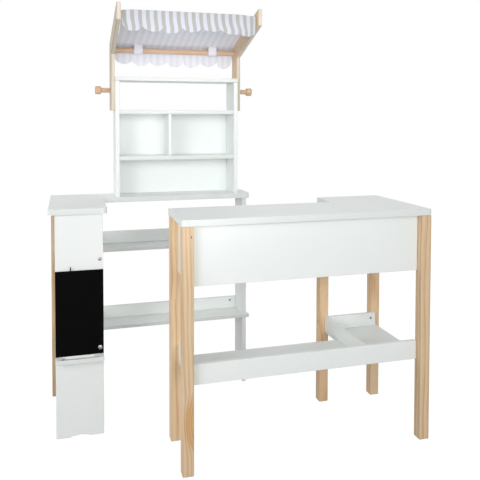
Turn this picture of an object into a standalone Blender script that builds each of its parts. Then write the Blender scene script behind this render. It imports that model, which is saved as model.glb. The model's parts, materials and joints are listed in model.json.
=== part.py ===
"""Wooden play shop set: an L-shaped counter and an L-shaped stand with a shelf hutch and an awning.

Metres, +Z up. The front is -Y. The origin is on the floor, in the middle of the pair.
"""

from math import cos, pi, radians, sin, sqrt

import bmesh
import bpy
from mathutils import Vector

# Shared sizes
GAP = 0.0003
EDGE = 0.0012
THIN_EDGE = 0.0006
LEG = 0.0275
LEG_EDGE = 0.0022
BOARD = 0.012
SHELF_BOARD = 0.010
WORKTOP = 0.015
WORKTOP_HEIGHT = 0.600
WORKTOP_CORNER = 0.011
WORKTOP_BACK_CORNER = 0.0036
LEG_INSET = 0.002
LEG_BACK_INSET = 0.001

# Counter
COUNTER_LENGTH = 0.654
COUNTER_DEPTH = 0.189
COUNTER_SHORT_LENGTH = 0.1955
COUNTER_SHORT_REACH = 0.097
APRON_SETBACK = 0.0196
APRON_HEIGHT = 0.1455
RAIL_BOTTOM = 0.206
RAIL_HEIGHT = 0.0485
MAIN_SHELF_DEPTH = 0.139
SMALL_SHELF_EDGE = 0.013
BACK_RAIL_SHORT = 0.0075

# Stand
STAND_OFFSET_X = -0.299
STAND_OFFSET_Y = 0.238
STAND_LENGTH = 0.597
STAND_DEPTH = 0.2926
STAND_LONG_DEPTH = 0.097
STAND_SHORT_WIDTH = 0.1485
STAND_FRONT_CORNER = 0.0055
STAND_LEG_LEFT = 0.0006
STAND_LEG_BACK = 0.010
PANEL_LEFT = 0.0162
PANEL_WIDTH = 0.1216
PANEL_SETBACK = 0.0097
ARCH_WIDTH = 0.052
ARCH_HEIGHT = 0.005
ARCH_FULLNESS = 0.7
ARCH_STEPS = 12
POST_THICKNESS = 0.0125
POST_DEPTH = 0.0838
POST_END = 0.007
UPPER_SHELF_BOTTOM = 0.4367
LOWER_SHELF_BOTTOM = 0.2046
SHELF_RAIL_HEIGHT = 0.037
SIDE_RAIL_INSET = 0.003
LAP_DEPTH = 0.020
LAP_STUB = 0.010

# Chalkboard and ledge
LEDGE_TOP = 0.2165
LEDGE_THICKNESS = 0.0111
LEDGE_DEPTH = 0.030
TROUGH_LENGTH = 0.086
TROUGH_WIDTH = 0.017
TROUGH_DEPTH = 0.005
TROUGH_FROM_BACK = 0.006
TROUGH_END_FLAT = 0.0002
CHALKBOARD = 0.004
CHALKBOARD_HEIGHT = 0.2216
HOOK_FROM_LEFT = 0.0388
HOOK_WIRE = 0.0026
HOOK_BEND = 0.0031
HOOK_REACH = 0.008
HOOK_RISE = 0.010

# Hutch
HUTCH_WIDTH = 0.3724
HUTCH_DEPTH = 0.092
HUTCH_HEIGHT = 0.3550
HUTCH_SETBACK = 0.004
HUTCH_TOP_LIP = 0.002
UPPER_ROW_TOP = 0.2575
LOWER_ROW_TOP = 0.1200
DIVIDER = 0.0088
DIVIDER_LEFT = 0.1568
BACK_PANEL = 0.004
BACK_PANEL_EDGE = 0.0004

# Awning frame
ARM_BOARD = 0.0118
ARM_WIDTH = 0.0526
ARM_SETBACK = 0.0147
ARM_LAP = 0.0993
ARM_POST = 0.1654
ARM_REACH = 0.2123
ARM_RISE = 0.0674
ARM_TIP = 0.045
ARM_BACK_RISE = 0.0349
DOWEL = 0.016
REAR_DOWEL_IN = 0.0287
REAR_DOWEL_UP = 0.0150
FRONT_DOWEL_IN = 0.026
FRONT_DOWEL_UP = 0.0170
PEG_UP = 0.0598
PEG_SHANK = 0.0142
PEG_SHANK_LENGTH = 0.0262
PEG_HEAD = 0.0243
PEG_HEAD_LENGTH = 0.0178
PEG_ROUNDING = 0.0039

# Awning cloth
CLOTH = 0.0009
CLOTH_SIDE_CLEARANCE = 0.0044
CLOTH_SAG = 0.0035
SCALLOPS = 7
SCALLOP_COLUMNS = 6
SCALLOP_DROP = 0.017
FRONT_VALANCE = 0.0305
REAR_VALANCE = 0.024
FOLD_DEPTH = 0.0022
STRAP = 0.0012
STRAP_WIDTH = 0.0257
STRAP_FROM_SIDE = 0.0714

# Screws
SCREW_HEAD = 0.0056
SCREW_DRIVE = 0.0012
SCREW_DRIVE_DEPTH = 0.0011
SCREW_CHAMFER = 0.0006
SCREW_SINK = 0.0015
SCREW_HEAD_THICKNESS = 0.0020
SMALL_SCREW_HEAD = 0.0046
PANEL_SCREW_HEAD = 0.0095
CHALKBOARD_SCREW_HEAD = 0.0114
PANEL_SCREW_RISE = 0.0022
PANEL_SCREW_RIM = 0.0008
PANEL_SCREW_DRIVE = 0.0017
PANEL_SCREW_DRIVE_DEPTH = 0.0013
APRON_SCREW_DROP = 0.0298
APRON_SCREW_SPACING = 0.0727
BACK_SCREW_IN = 0.0073
BACK_SCREW_RISE = 0.0336
POST_SCREW_IN = 0.0096
POST_SCREW_DROP = 0.0172
REAR_SCREW_IN = 0.0204
REAR_SCREW_RISE = 0.0354
HUTCH_SCREW_SPREAD = 0.022
HUTCH_SCREW_RISE = 0.013

# Places that follow from the sizes
TOP_UNDER = WORKTOP_HEIGHT - WORKTOP
COUNTER_FULL_DEPTH = COUNTER_DEPTH + COUNTER_SHORT_REACH
COUNTER_NOTCH = COUNTER_LENGTH - COUNTER_SHORT_LENGTH
STAND_LONG_FRONT = STAND_DEPTH - STAND_LONG_DEPTH
PAIR_MIDDLE_X = (STAND_OFFSET_X + COUNTER_LENGTH) / 2
PAIR_MIDDLE_Y = (STAND_OFFSET_Y + STAND_DEPTH) / 2
COUNTER_ORIGIN = Vector((-PAIR_MIDDLE_X, -PAIR_MIDDLE_Y, 0))
STAND_ORIGIN = COUNTER_ORIGIN + Vector((STAND_OFFSET_X, STAND_OFFSET_Y, 0))
PANEL_RIGHT = PANEL_LEFT + PANEL_WIDTH
PANEL_BACK = PANEL_SETBACK + BOARD
POST_RIGHT = STAND_LENGTH - POST_END
POST_LEFT = POST_RIGHT - POST_THICKNESS
POST_BACK = STAND_DEPTH - GAP
POST_FRONT = POST_BACK - POST_DEPTH
STAND_LEG_Y = STAND_DEPTH - STAND_LEG_BACK - LEG
HUTCH_LEFT = (STAND_SHORT_WIDTH + STAND_LENGTH - HUTCH_WIDTH) / 2
HUTCH_RIGHT = HUTCH_LEFT + HUTCH_WIDTH
HUTCH_FRONT = STAND_LONG_FRONT + HUTCH_SETBACK
HUTCH_BACK = HUTCH_FRONT + HUTCH_DEPTH
HUTCH_BASE = WORKTOP_HEIGHT + GAP
HUTCH_TOP = WORKTOP_HEIGHT + HUTCH_HEIGHT
ARM_FRONT = HUTCH_FRONT + ARM_SETBACK
ARM_BACK = ARM_FRONT + ARM_WIDTH
ARM_BASE = HUTCH_TOP - ARM_LAP
ARM_BEND = ARM_BASE + ARM_POST
TIP_Y = ARM_FRONT - ARM_REACH
TIP_Z = ARM_BEND + ARM_RISE
REAR_DOWEL_Y = ARM_FRONT + REAR_DOWEL_IN
REAR_DOWEL_Z = ARM_BEND + REAR_DOWEL_UP
FRONT_DOWEL_Y = TIP_Y + FRONT_DOWEL_IN
FRONT_DOWEL_Z = TIP_Z + FRONT_DOWEL_UP
PEG_Y = ARM_FRONT + ARM_WIDTH / 2
PEG_Z = ARM_BASE + PEG_UP


# Scene and materials

for old in list(bpy.data.objects):
    bpy.data.objects.remove(old, do_unlink=True)


def new_collection(name):
    collection = bpy.data.collections.new(name)
    bpy.context.scene.collection.children.link(collection)
    return collection


PARTS = new_collection("play_shop_set")
CUTTERS = new_collection("cutters")


def principled(name, colour, roughness, metallic=0.0):
    material = bpy.data.materials.new(name)
    material.use_nodes = True
    shader = material.node_tree.nodes["Principled BSDF"]
    shader.inputs["Base Color"].default_value = (*colour, 1.0)
    shader.inputs["Roughness"].default_value = roughness
    shader.inputs["Metallic"].default_value = metallic
    material.diffuse_color = (*colour, 1.0)
    return material


WHITE = principled("white_lacquer", (0.84, 0.85, 0.84), 0.45)
PINE = principled("pine", (0.76, 0.55, 0.34), 0.55)
BEECH = principled("beech", (0.68, 0.41, 0.24), 0.50)
SLATE = principled("chalkboard_black", (0.008, 0.008, 0.008), 0.60)
STEEL = principled("zinc_steel", (0.55, 0.56, 0.58), 0.35, 1.0)
COTTON = principled("striped_cotton", (0.78, 0.78, 0.82), 0.90)
WEBBING = principled("white_webbing", (0.82, 0.81, 0.86), 0.90)


# Shapes

def add_object(name, data, material, origin=Vector((0, 0, 0)), collection=None):
    thing = bpy.data.objects.new(name, data)
    thing.location = origin
    data.materials.append(material)
    (collection or PARTS).objects.link(thing)
    return thing


def round_edges(thing, width, segments=2):
    bevel = thing.modifiers.new("rounded_edges", "BEVEL")
    bevel.width = width
    bevel.segments = segments
    bevel.limit_method = "ANGLE"
    bevel.angle_limit = radians(40)
    bevel.harden_normals = False


def box(name, low, high, material, origin, edge=EDGE):
    """A board between two corners, with slightly rounded edges."""
    low = Vector(low)
    high = Vector(high)
    size = high - low
    mesh = bpy.data.meshes.new(name)
    shape = bmesh.new()
    bmesh.ops.create_cube(shape, size=1.0)
    bmesh.ops.scale(shape, vec=size, verts=shape.verts)
    shape.to_mesh(mesh)
    shape.free()
    thing = add_object(name, mesh, material, origin + (low + high) / 2)
    if edge:
        round_edges(thing, edge)
    return thing


def cylinder(name, diameter, length, centre, axis, material, origin, sides=32, collection=None):
    """A round bar whose axis points along axis."""
    mesh = bpy.data.meshes.new(name)
    shape = bmesh.new()
    bmesh.ops.create_cone(shape, cap_ends=True, segments=sides, radius1=diameter / 2,
                          radius2=diameter / 2, depth=length)
    shape.to_mesh(mesh)
    shape.free()
    mesh.shade_smooth()
    mesh.set_sharp_from_angle(angle=radians(40))
    thing = add_object(name, mesh, material, origin + Vector(centre), collection)
    thing.rotation_mode = "QUATERNION"
    thing.rotation_quaternion = Vector((0, 0, 1)).rotation_difference(Vector(axis))
    return thing


def turned(name, profile, centre, axis, material, origin, sides=32):
    """A turned piece. The profile lists (radius, height) from the top of the axis to its foot."""
    mesh = bpy.data.meshes.new(name)
    shape = bmesh.new()
    points = [shape.verts.new((radius, 0, height)) for radius, height in profile]
    for first, second in zip(points, points[1:]):
        shape.edges.new((first, second))
    shape.to_mesh(mesh)
    shape.free()
    thing = add_object(name, mesh, material, origin + Vector(centre))
    thing.rotation_mode = "QUATERNION"
    thing.rotation_quaternion = Vector((0, 0, 1)).rotation_difference(Vector(axis))
    screw = thing.modifiers.new("turned", "SCREW")
    screw.angle = 2 * pi
    screw.steps = sides
    screw.render_steps = sides
    screw.use_merge_vertices = True
    screw.merge_threshold = 0.00002
    screw.use_smooth_shade = True
    return thing


def rounded_outline(corners, steps=5):
    """Points of a closed outline. Each corner is (x, y, radius), and the corners run one way round."""
    points = []
    count = len(corners)
    for index, (x, y, radius) in enumerate(corners):
        here = Vector((x, y))
        if radius == 0:
            points.append(here)
            continue
        before = (Vector(corners[index - 1][:2]) - here).normalized()
        after = (Vector(corners[(index + 1) % count][:2]) - here).normalized()
        half = before.angle(after) / 2
        inward = (before + after).normalized()
        centre = here + inward * (radius / sin(half))
        reach = radius * cos(half) / sin(half)
        start = here + before * reach - centre
        finish = here + after * reach - centre
        sweep = start.angle_signed(finish)
        for step in range(steps + 1):
            turn = -sweep * step / steps
            points.append(centre + Vector((start.x * cos(turn) - start.y * sin(turn),
                                           start.x * sin(turn) + start.y * cos(turn))))
    return points


def board(name, outline, thickness, centre, turn, material, origin, edge=EDGE):
    """A flat board cut to an outline. turn lays the outline's plane in place."""
    curve = bpy.data.curves.new(name, "CURVE")
    curve.dimensions = "2D"
    curve.fill_mode = "BOTH"
    curve.extrude = thickness / 2
    spline = curve.splines.new("POLY")
    spline.points.add(len(outline) - 1)
    for point, place in zip(spline.points, outline):
        point.co = (place.x, place.y, 0, 1)
    spline.use_cyclic_u = True
    thing = add_object(name, curve, material, origin + Vector(centre))
    thing.rotation_euler = turn
    weld = thing.modifiers.new("join_caps", "WELD")
    weld.merge_threshold = 0.00002
    if edge:
        round_edges(thing, edge)
    return thing


def as_mesh(thing):
    """Replaces a board made from a curve by its evaluated mesh, so that it can be cut."""
    graph = bpy.context.evaluated_depsgraph_get()
    mesh = bpy.data.meshes.new_from_object(thing.evaluated_get(graph))
    name = thing.name
    place = thing.matrix_world.copy()
    data = thing.data
    bpy.data.objects.remove(thing, do_unlink=True)
    bpy.data.curves.remove(data)
    solid = bpy.data.objects.new(name, mesh)
    solid.matrix_world = place
    PARTS.objects.link(solid)
    return solid


def cut(thing, cutter):
    cutter.hide_render = True
    cutter.display_type = "WIRE"
    difference = thing.modifiers.new("cut_" + cutter.name, "BOOLEAN")
    difference.operation = "DIFFERENCE"
    difference.object = cutter


FLAT = (0, 0, 0)
UPRIGHT_FRONT = (pi / 2, 0, 0)
UPRIGHT_SIDE = (pi / 2, 0, pi / 2)


def sunk_screw(name, holder, face, inward, origin, head=SCREW_HEAD):
    """A screw whose head sits below a face, in a round recess cut in its holder."""
    inward = Vector(inward)
    face = Vector(face)
    recess_depth = SCREW_SINK + SCREW_HEAD_THICKNESS + GAP
    recess = cylinder("recess_" + name, head + 4 * GAP, 2 * recess_depth, face, inward, STEEL, origin,
                      sides=16, collection=CUTTERS)
    cut(holder, recess)
    radius = head / 2
    top = SCREW_HEAD_THICKNESS
    floor = top - SCREW_DRIVE_DEPTH
    profile = [(0, floor), (SCREW_DRIVE, floor), (SCREW_DRIVE, top), (radius - SCREW_CHAMFER, top),
               (radius, top - SCREW_CHAMFER), (radius, 0), (0, 0)]
    seat = face + inward * (SCREW_SINK + SCREW_HEAD_THICKNESS)
    turned(name, profile, seat, -inward, STEEL, origin, sides=16)


def panel_screw(name, face, head, origin):
    """A domed steel screw on a face that looks towards -Y, with a round drive hole."""
    radius = head / 2
    crown = PANEL_SCREW_RISE - PANEL_SCREW_RIM
    floor = PANEL_SCREW_RISE - PANEL_SCREW_DRIVE_DEPTH
    dome = [(radius * sin(radians(a)), PANEL_SCREW_RIM + crown * cos(radians(a))) for a in (30, 50, 70, 90)]
    profile = [(0, floor), (PANEL_SCREW_DRIVE, floor), (PANEL_SCREW_DRIVE, PANEL_SCREW_RISE), *dome,
               (radius, 0), (0, 0)]
    seat = Vector(face) - Vector((0, GAP, 0))
    turned(name, profile, seat, (0, -1, 0), STEEL, origin, sides=24)


# Counter

def counter():
    at = COUNTER_ORIGIN
    corner = WORKTOP_CORNER
    back_corner = WORKTOP_BACK_CORNER
    top = rounded_outline([
        (0, 0, corner), (COUNTER_LENGTH, 0, corner),
        (COUNTER_LENGTH, COUNTER_FULL_DEPTH, back_corner), (COUNTER_NOTCH, COUNTER_FULL_DEPTH, back_corner),
        (COUNTER_NOTCH, COUNTER_DEPTH, 0), (0, COUNTER_DEPTH, back_corner)])
    board("counter_worktop", top, WORKTOP, (0, 0, WORKTOP_HEIGHT - WORKTOP / 2), FLAT, WHITE, at)

    left = LEG_INSET
    right = COUNTER_LENGTH - LEG_INSET - LEG
    middle = COUNTER_NOTCH
    front = LEG_INSET
    long_back = COUNTER_DEPTH - LEG_BACK_INSET - LEG
    short_back = COUNTER_FULL_DEPTH - LEG_BACK_INSET - LEG
    legs = {}
    for name, x, y in (("front_left", left, front), ("back_left", left, long_back),
                       ("back_middle", middle, short_back), ("back_right", right, short_back),
                       ("front_right", right, front)):
        legs[name] = box("counter_leg_" + name, (x, y, 0), (x + LEG, y + LEG, TOP_UNDER - GAP), PINE, at,
                         LEG_EDGE)

    apron_low = TOP_UNDER - APRON_HEIGHT
    apron_high = TOP_UNDER - GAP
    face = LEG_INSET + APRON_SETBACK
    inner_left = left + LEG + GAP
    inner_right = right - GAP
    behind_front = face + BOARD + GAP
    box("counter_apron_front", (inner_left, face, apron_low), (inner_right, face + BOARD, apron_high),
        WHITE, at)
    box("counter_apron_left", (face, behind_front, apron_low), (face + BOARD, long_back - GAP, apron_high),
        WHITE, at)
    far_face = COUNTER_LENGTH - face
    box("counter_apron_right", (far_face - BOARD, behind_front, apron_low),
        (far_face, short_back - GAP, apron_high), WHITE, at)

    rail_top = RAIL_BOTTOM + RAIL_HEIGHT
    shelf_top = RAIL_BOTTOM + SHELF_BOARD
    rail_low = shelf_top + GAP
    main_back = behind_front + MAIN_SHELF_DEPTH
    small_back = short_back - GAP
    divider_right = middle + LEG
    divider_left = divider_right - BOARD
    shelf_right = COUNTER_LENGTH - LEG_INSET - SMALL_SHELF_EDGE
    shelf = rounded_outline([
        (face, behind_front, 0), (shelf_right, behind_front, 0), (shelf_right, small_back, 0),
        (divider_left, small_back, 0), (divider_left, main_back, 0), (inner_left, main_back, 0),
        (inner_left, long_back - GAP, 0), (face, long_back - GAP, 0)])
    board("counter_shelf", shelf, SHELF_BOARD, (0, 0, RAIL_BOTTOM + SHELF_BOARD / 2), FLAT, WHITE, at,
          THIN_EDGE)
    box("counter_lip_front", (inner_left, face, RAIL_BOTTOM), (inner_right, face + BOARD, rail_top), WHITE, at)
    box("counter_rail_left", (face, behind_front, rail_low), (face + BOARD, long_back - GAP, rail_top),
        WHITE, at)
    box("counter_rail_middle", (divider_left, behind_front, rail_low), (divider_right, small_back, rail_top),
        WHITE, at)
    back_rail = box("counter_rail_back", (divider_right + GAP, small_back - BOARD, rail_low),
                    (right + BACK_RAIL_SHORT, small_back, rail_top), WHITE, at)

    screw_y = (face + front + LEG) / 2
    upper_screw = TOP_UNDER - APRON_SCREW_DROP
    heights = {"apron_upper": upper_screw, "apron_lower": upper_screw - APRON_SCREW_SPACING,
               "lip": (rail_low + rail_top) / 2}
    for name, z in heights.items():
        sunk_screw("screw_" + name, legs["front_left"], (left, screw_y, z), (1, 0, 0), at)
    sunk_screw("screw_rail_middle", legs["back_middle"], (middle, short_back + LEG / 2, heights["lip"]),
               (1, 0, 0), at)
    sunk_screw("screw_rail_back", back_rail,
               (right - BACK_SCREW_IN, small_back - BOARD, RAIL_BOTTOM + BACK_SCREW_RISE), (0, 1, 0), at)


# Stand

def shelf_and_rails(level, bottom):
    """An L-shaped shelf whose front corner laps through the post, with a rear and a side rail."""
    at = STAND_ORIGIN
    leg_right = STAND_LEG_LEFT + LEG
    side_right = PANEL_RIGHT - SIDE_RAIL_INSET
    stub_end = POST_RIGHT + LAP_STUB
    outline = rounded_outline([
        (PANEL_LEFT, PANEL_BACK + GAP, 0), (side_right, PANEL_BACK + GAP, 0), (side_right, POST_FRONT, 0),
        (stub_end, POST_FRONT, 0), (stub_end, POST_FRONT + LAP_DEPTH, 0),
        (POST_LEFT - GAP, POST_FRONT + LAP_DEPTH, 0), (POST_LEFT - GAP, POST_BACK, 0),
        (leg_right + GAP, POST_BACK, 0), (leg_right + GAP, STAND_LEG_Y - GAP, 0),
        (PANEL_LEFT, STAND_LEG_Y - GAP, 0)])
    board(f"stand_shelf_{level}", outline, SHELF_BOARD, (0, 0, bottom + SHELF_BOARD / 2), FLAT, WHITE, at,
          THIN_EDGE)
    rail_low = bottom + SHELF_BOARD + GAP
    rail_high = bottom + SHELF_BOARD + SHELF_RAIL_HEIGHT
    rear = box(f"stand_rail_{level}_rear", (leg_right + GAP, POST_BACK - BOARD, rail_low),
               (POST_LEFT - GAP, POST_BACK, rail_high), WHITE, at)
    box(f"stand_rail_{level}_side", (side_right - BOARD, PANEL_BACK + GAP, rail_low),
        (side_right, POST_BACK - BOARD - GAP, rail_high), WHITE, at)
    return rear, (rail_low + rail_high) / 2


def stand():
    at = STAND_ORIGIN
    corner = WORKTOP_CORNER
    top = rounded_outline([
        (0, 0, STAND_FRONT_CORNER), (STAND_SHORT_WIDTH, 0, corner), (STAND_SHORT_WIDTH, STAND_LONG_FRONT, 0),
        (STAND_LENGTH, STAND_LONG_FRONT, corner), (STAND_LENGTH, STAND_DEPTH, corner),
        (0, STAND_DEPTH, WORKTOP_BACK_CORNER)])
    board("stand_worktop", top, WORKTOP, (0, 0, WORKTOP_HEIGHT - WORKTOP / 2), FLAT, WHITE, at)

    leg_x = STAND_LEG_LEFT
    box("stand_leg_left", (leg_x, STAND_LEG_Y, 0), (leg_x + LEG, STAND_LEG_Y + LEG, TOP_UNDER - GAP),
        PINE, at, LEG_EDGE)

    middle = (PANEL_LEFT + PANEL_RIGHT) / 2
    arch = [(middle + ARCH_WIDTH * (0.5 - step / ARCH_STEPS),
             ARCH_HEIGHT * sin(pi * step / ARCH_STEPS) ** ARCH_FULLNESS) for step in range(1, ARCH_STEPS)]
    foot = [(middle + ARCH_WIDTH / 2, 0)] + arch + [(middle - ARCH_WIDTH / 2, 0)]
    panel = [Vector(point) for point in foot] + [
        Vector((PANEL_LEFT, 0)), Vector((PANEL_LEFT, TOP_UNDER - GAP)),
        Vector((PANEL_RIGHT, TOP_UNDER - GAP)), Vector((PANEL_RIGHT, 0))]
    board("stand_panel", panel, BOARD, (0, PANEL_SETBACK + BOARD / 2, 0), UPRIGHT_FRONT, WHITE, at, EDGE)

    post = box("stand_post", (POST_LEFT, POST_FRONT, 0), (POST_RIGHT, POST_BACK, TOP_UNDER - GAP), WHITE, at)
    side_rail_x = PANEL_RIGHT - SIDE_RAIL_INSET - BOARD / 2
    rails = {}
    for level, bottom in (("upper", UPPER_SHELF_BOTTOM), ("lower", LOWER_SHELF_BOTTOM)):
        rails[level] = shelf_and_rails(level, bottom)
        lap = box(f"lap_{level}", (POST_LEFT - LAP_STUB, POST_FRONT - LAP_STUB, bottom - GAP),
                  (POST_RIGHT + LAP_STUB, POST_FRONT + LAP_DEPTH + GAP, bottom + SHELF_BOARD + GAP),
                  WHITE, at, 0)
        PARTS.objects.unlink(lap)
        CUTTERS.objects.link(lap)
        cut(post, lap)

    chalkboard_bottom = LEDGE_TOP + GAP
    board_back = PANEL_SETBACK - GAP
    board_front = board_back - CHALKBOARD
    chalkboard_top = chalkboard_bottom + CHALKBOARD_HEIGHT
    box("stand_chalkboard", (PANEL_LEFT, board_front, chalkboard_bottom),
        (PANEL_RIGHT, board_back, chalkboard_top), SLATE, at, THIN_EDGE)
    ledge = box("stand_chalk_ledge", (PANEL_LEFT, board_back - LEDGE_DEPTH, LEDGE_TOP - LEDGE_THICKNESS),
                (PANEL_RIGHT, board_back, LEDGE_TOP), WHITE, at)
    half_length = TROUGH_LENGTH / 2
    half_width = TROUGH_WIDTH / 2
    trough_middle = board_back - TROUGH_FROM_BACK - half_width
    round_end = half_width - TROUGH_END_FLAT / 2
    slot = rounded_outline([
        (-half_length, -half_width, round_end), (half_length, -half_width, round_end),
        (half_length, half_width, round_end), (-half_length, half_width, round_end)])
    trough = as_mesh(board("chalk_trough", slot, 2 * TROUGH_DEPTH, (middle, trough_middle, LEDGE_TOP), FLAT,
                           WHITE, at, 0))
    PARTS.objects.unlink(trough)
    CUTTERS.objects.link(trough)
    cut(ledge, trough)

    panel_screw("screw_panel", (side_rail_x, PANEL_SETBACK, rails["upper"][1]), PANEL_SCREW_HEAD, at)
    panel_screw("screw_chalkboard", (side_rail_x, board_front, rails["lower"][1]), CHALKBOARD_SCREW_HEAD, at)
    for place, y in (("front", POST_FRONT + POST_SCREW_IN), ("rear", POST_BACK - POST_SCREW_IN)):
        sunk_screw("screw_post_" + place, post, (POST_LEFT, y, TOP_UNDER - POST_SCREW_DROP), (1, 0, 0), at)
    sunk_screw("screw_rail_rear", rails["lower"][0],
               (POST_LEFT - REAR_SCREW_IN, POST_BACK - BOARD, LOWER_SHELF_BOTTOM + REAR_SCREW_RISE), (0, 1, 0), at)
    hook(PANEL_LEFT + HOOK_FROM_LEFT, chalkboard_top)


def hook(x, board_top):
    """A small steel L-hook just above the chalkboard."""
    low = board_top + GAP + HOOK_WIRE / 2
    front = PANEL_SETBACK - HOOK_REACH
    route = [(PANEL_SETBACK - GAP, low)]
    for step in range(5):
        angle = pi / 2 * step / 4
        route.append((front + HOOK_BEND * (1 - sin(angle)), low + HOOK_BEND * (1 - cos(angle))))
    route.append((front, low + HOOK_RISE))
    curve = bpy.data.curves.new("stand_hook", "CURVE")
    curve.dimensions = "3D"
    curve.bevel_depth = HOOK_WIRE / 2
    curve.bevel_resolution = 2
    curve.use_fill_caps = True
    spline = curve.splines.new("POLY")
    spline.points.add(len(route) - 1)
    for point, (y, z) in zip(spline.points, route):
        point.co = (x, y, z, 1)
    add_object("stand_hook", curve, STEEL, STAND_ORIGIN)


# Hutch

def hutch():
    at = STAND_ORIGIN
    inner_left = HUTCH_LEFT + BOARD + GAP
    inner_right = HUTCH_RIGHT - BOARD - GAP
    side_top = HUTCH_TOP - BOARD - GAP
    box("hutch_side_left", (HUTCH_LEFT, HUTCH_FRONT, HUTCH_BASE), (HUTCH_LEFT + BOARD, HUTCH_BACK, side_top),
        WHITE, at)
    side = box("hutch_side_right", (HUTCH_RIGHT - BOARD, HUTCH_FRONT, HUTCH_BASE),
               (HUTCH_RIGHT, HUTCH_BACK, side_top), WHITE, at)
    box("hutch_top", (HUTCH_LEFT, HUTCH_FRONT - HUTCH_TOP_LIP, HUTCH_TOP - BOARD),
        (HUTCH_RIGHT, HUTCH_BACK, HUTCH_TOP), WHITE, at)

    upper_top = WORKTOP_HEIGHT + UPPER_ROW_TOP
    lower_top = WORKTOP_HEIGHT + LOWER_ROW_TOP
    panel_front = HUTCH_BACK - BACK_PANEL
    box("hutch_shelf_upper", (inner_left, HUTCH_FRONT, upper_top - BOARD), (inner_right, HUTCH_BACK, upper_top),
        WHITE, at)
    box("hutch_shelf_lower", (inner_left, HUTCH_FRONT, lower_top - BOARD),
        (inner_right, panel_front - GAP, lower_top), WHITE, at)
    divider_x = HUTCH_LEFT + DIVIDER_LEFT
    box("hutch_divider", (divider_x, HUTCH_FRONT, lower_top + GAP),
        (divider_x + DIVIDER, panel_front - GAP, upper_top - BOARD - GAP), WHITE, at)
    box("hutch_back", (inner_left, panel_front, HUTCH_BASE), (inner_right, HUTCH_BACK, upper_top - BOARD - GAP),
        WHITE, at, BACK_PANEL_EDGE)

    screw_x = HUTCH_RIGHT - BOARD
    upper_screw = PEG_Z + HUTCH_SCREW_RISE
    places = ((PEG_Y, PEG_Z), (PEG_Y + HUTCH_SCREW_SPREAD, upper_screw), (PEG_Y - HUTCH_SCREW_SPREAD, upper_screw))
    for number, (y, z) in enumerate(places):
        sunk_screw(f"screw_hutch_{number + 1}", side, (screw_x, y, z), (1, 0, 0), at, SMALL_SCREW_HEAD)


# Awning

def arm_outline():
    return [Vector(point) for point in (
        (ARM_FRONT, ARM_BASE), (ARM_BACK, ARM_BASE), (ARM_BACK, ARM_BEND + ARM_BACK_RISE),
        (TIP_Y, TIP_Z + ARM_TIP), (TIP_Y, TIP_Z), (ARM_FRONT, ARM_BEND))]


def peg(name, x, direction):
    """A turned coat peg that points away from the arm's outer face."""
    shank = PEG_SHANK / 2
    head = PEG_HEAD / 2
    tip = PEG_SHANK_LENGTH + PEG_HEAD_LENGTH
    rounding = PEG_ROUNDING
    crown = [(head - rounding + rounding * sin(radians(a)), tip - rounding + rounding * cos(radians(a)))
             for a in (0, 30, 60, 90)]
    foot = [(head - rounding + rounding * cos(radians(a)), PEG_SHANK_LENGTH + rounding - rounding * sin(radians(a)))
            for a in (0, 30, 60, 90)]
    profile = [(0, tip), *crown, *foot, (shank, PEG_SHANK_LENGTH), (shank, 0), (0, 0)]
    turned(name, profile, (x, PEG_Y, PEG_Z), (direction, 0, 0), BEECH, STAND_ORIGIN)


def canopy_path(drop_front, drop_back):
    """Points (y, z) of the cloth's inner face, from the front hem over both dowels to the back hem."""
    radius = DOWEL / 2 + GAP + STRAP + 2 * GAP
    path = []
    slope = Vector((REAR_DOWEL_Y - FRONT_DOWEL_Y, REAR_DOWEL_Z - FRONT_DOWEL_Z)).normalized()
    normal = Vector((-slope.y, slope.x))
    lean = normal.angle(Vector((0, 1)))
    front_y = FRONT_DOWEL_Y - radius
    for share in (1.0, 0.5, 0.0):
        path.append((front_y, FRONT_DOWEL_Z - drop_front * share))
    for share in (0.25, 0.5, 0.75):
        angle = pi - (pi / 2 + lean) * share
        path.append((FRONT_DOWEL_Y + radius * cos(angle), FRONT_DOWEL_Z + radius * sin(angle)))
    start = Vector((FRONT_DOWEL_Y, FRONT_DOWEL_Z)) + normal * radius
    finish = Vector((REAR_DOWEL_Y, REAR_DOWEL_Z)) + normal * radius
    for share in (0.0, 0.5, 1.0):
        place = start.lerp(finish, share)
        sag = CLOTH_SAG * 4 * share * (1 - share)
        path.append((place.x, place.y - sag))
    for share in (0.33, 0.66):
        angle = (pi / 2 - lean) * (1 - share)
        path.append((REAR_DOWEL_Y + radius * cos(angle), REAR_DOWEL_Z + radius * sin(angle)))
    back_y = REAR_DOWEL_Y + radius
    for share in (0.0, 0.5, 1.0):
        path.append((back_y, REAR_DOWEL_Z - drop_back * share))
    return path


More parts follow.
